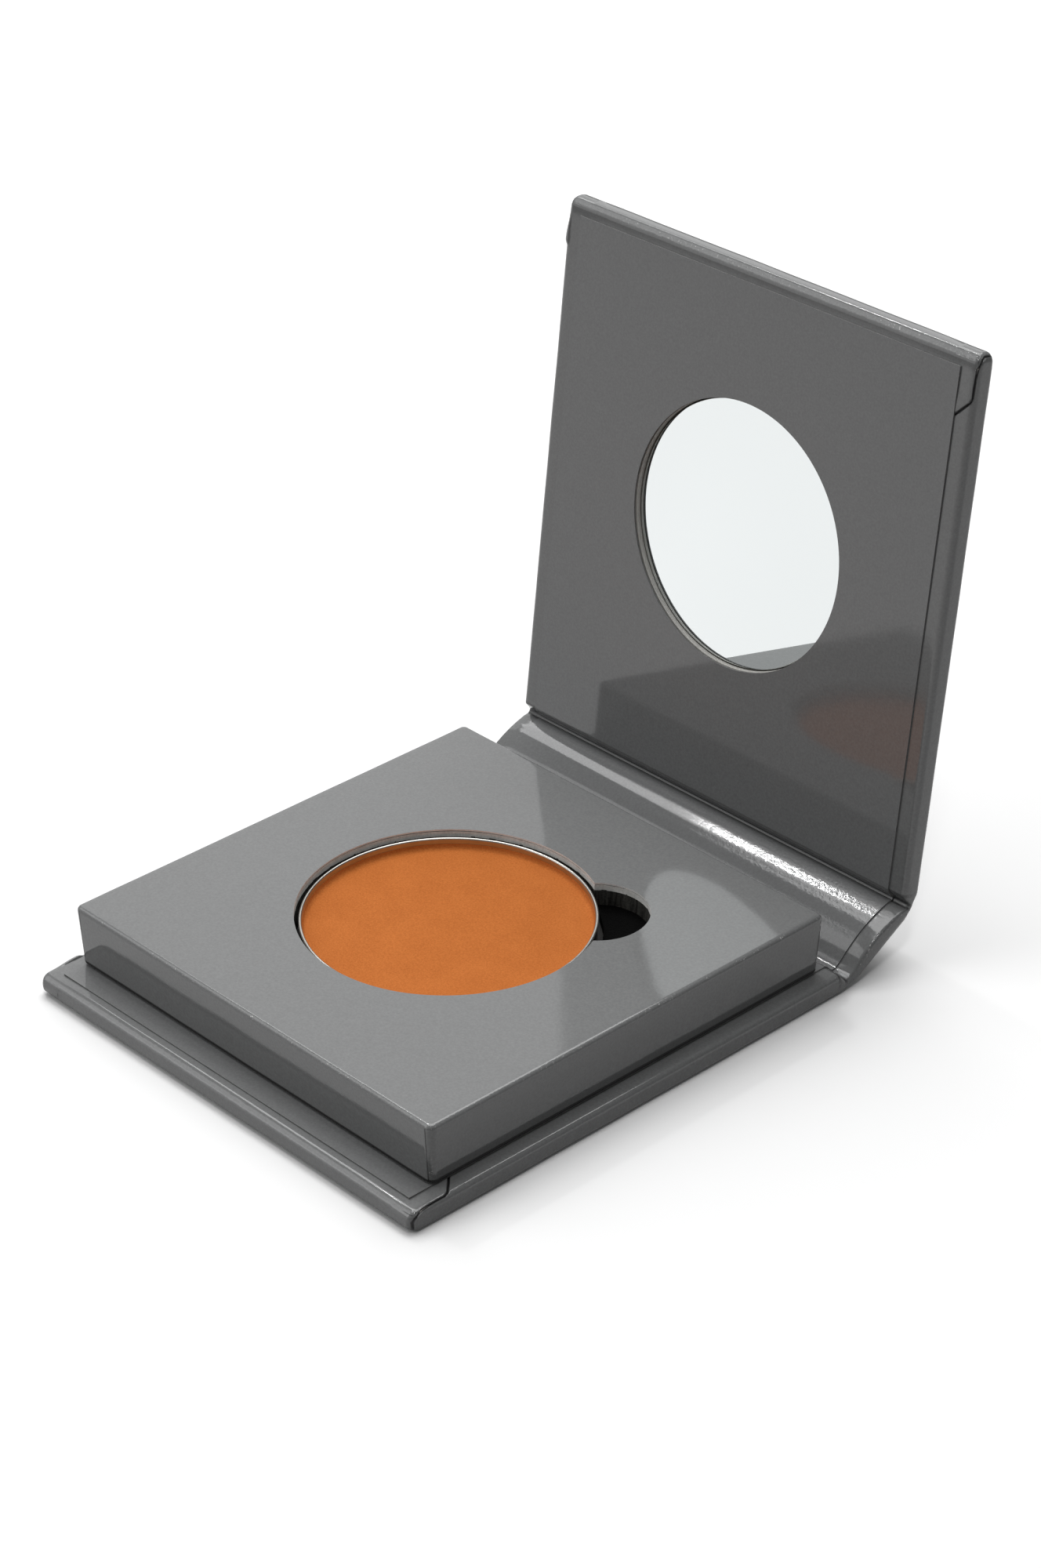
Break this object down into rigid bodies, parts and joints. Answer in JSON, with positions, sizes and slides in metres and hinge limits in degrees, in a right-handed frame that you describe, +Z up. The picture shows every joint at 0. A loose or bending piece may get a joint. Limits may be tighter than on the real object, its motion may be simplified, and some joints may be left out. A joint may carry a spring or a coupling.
{
  "type": "powder compact",
  "caption": "Square paper-covered folding compact, open: a raised tray seats a round lift-out pan of pressed powder with a finger notch, and the lid holds a recessed round mirror.",
  "frame": {"origin": "centre of the base cover's underside", "axes": "+X along the hinge to the right seen from the front, +Y from the free front edge to the spine, +Z up"},
  "size_m": [0.068, 0.0923, 0.0786],
  "materials": {
    "wrap_paper": "mid-grey paper with a gloss lamination",
    "liner_paper": "mid-grey paper with a gloss lamination",
    "greyboard": "raw grey board",
    "tray_card": "raw white-cored card",
    "foam": "charcoal closed-cell foam, die cut",
    "magnet_rubber": "flexible magnetic sheet",
    "tape": "double-sided foam tape",
    "magnet": "nickel-plated disc magnet",
    "pan_metal": "bright tinplate",
    "powder": "pressed powder, matte terracotta orange",
    "mirror": "silvered glass"
  },
  "bodies": {
    "base": {"base_wrap": "wrap_paper", "base_board": "greyboard", "base_liner": "liner_paper", "tray_tape": "tape", "tray_bottom": "tray_card", "filler_board": "greyboard", "magnet_sheet": "magnet_rubber", "foam_base": "foam", "foam_insert": "foam", "tray_magnet_left": "magnet", "tray_magnet_right": "magnet", "tray_card": "tray_card", "tray_wrap": "wrap_paper"},
    "lower_joint": {"lower_joint_wrap": "wrap_paper", "lower_joint_liner": "liner_paper"},
    "spine": {"spine_wrap": "wrap_paper", "spine_board": "greyboard", "spine_liner": "liner_paper"},
    "upper_joint": {"upper_joint_wrap": "wrap_paper", "upper_joint_liner": "liner_paper"},
    "lid": {"lid_wrap": "wrap_paper", "lid_board": "greyboard", "lid_window_board": "greyboard", "lid_liner": "liner_paper", "lid_magnet_left": "magnet", "lid_magnet_right": "magnet", "mirror_tape": "tape", "mirror": "mirror"},
    "pan": {"pan": "pan_metal", "powder": "powder"}
  },
  "joints": [
    {"name": "base_crease", "type": "hinge", "parent": "base", "child": "lower_joint", "pos_m": [0, 0.0352, 0.0002], "axis": [-1, 0, 0], "range_deg": [-31, 14]},
    {"name": "spine_crease_lower", "type": "hinge", "parent": "lower_joint", "child": "spine", "pos_m": [0, 0.0383, 0.00097], "axis": [-1, 0, 0], "range_deg": [-29, 16]},
    {"name": "spine_crease_upper", "type": "hinge", "parent": "spine", "child": "upper_joint", "pos_m": [0, 0.04705, 0.00602], "axis": [-1, 0, 0], "range_deg": [-19, 26]},
    {"name": "lid_crease", "type": "hinge", "parent": "upper_joint", "child": "lid", "pos_m": [0, 0.04884, 0.00868], "axis": [-1, 0, 0], "range_deg": [-17.8, 27.2]},
    {"name": "pan_lift", "type": "slide", "parent": "base", "child": "pan", "axis": [0, 0, 1], "range_m": [0, 0.012]}
  ]
}
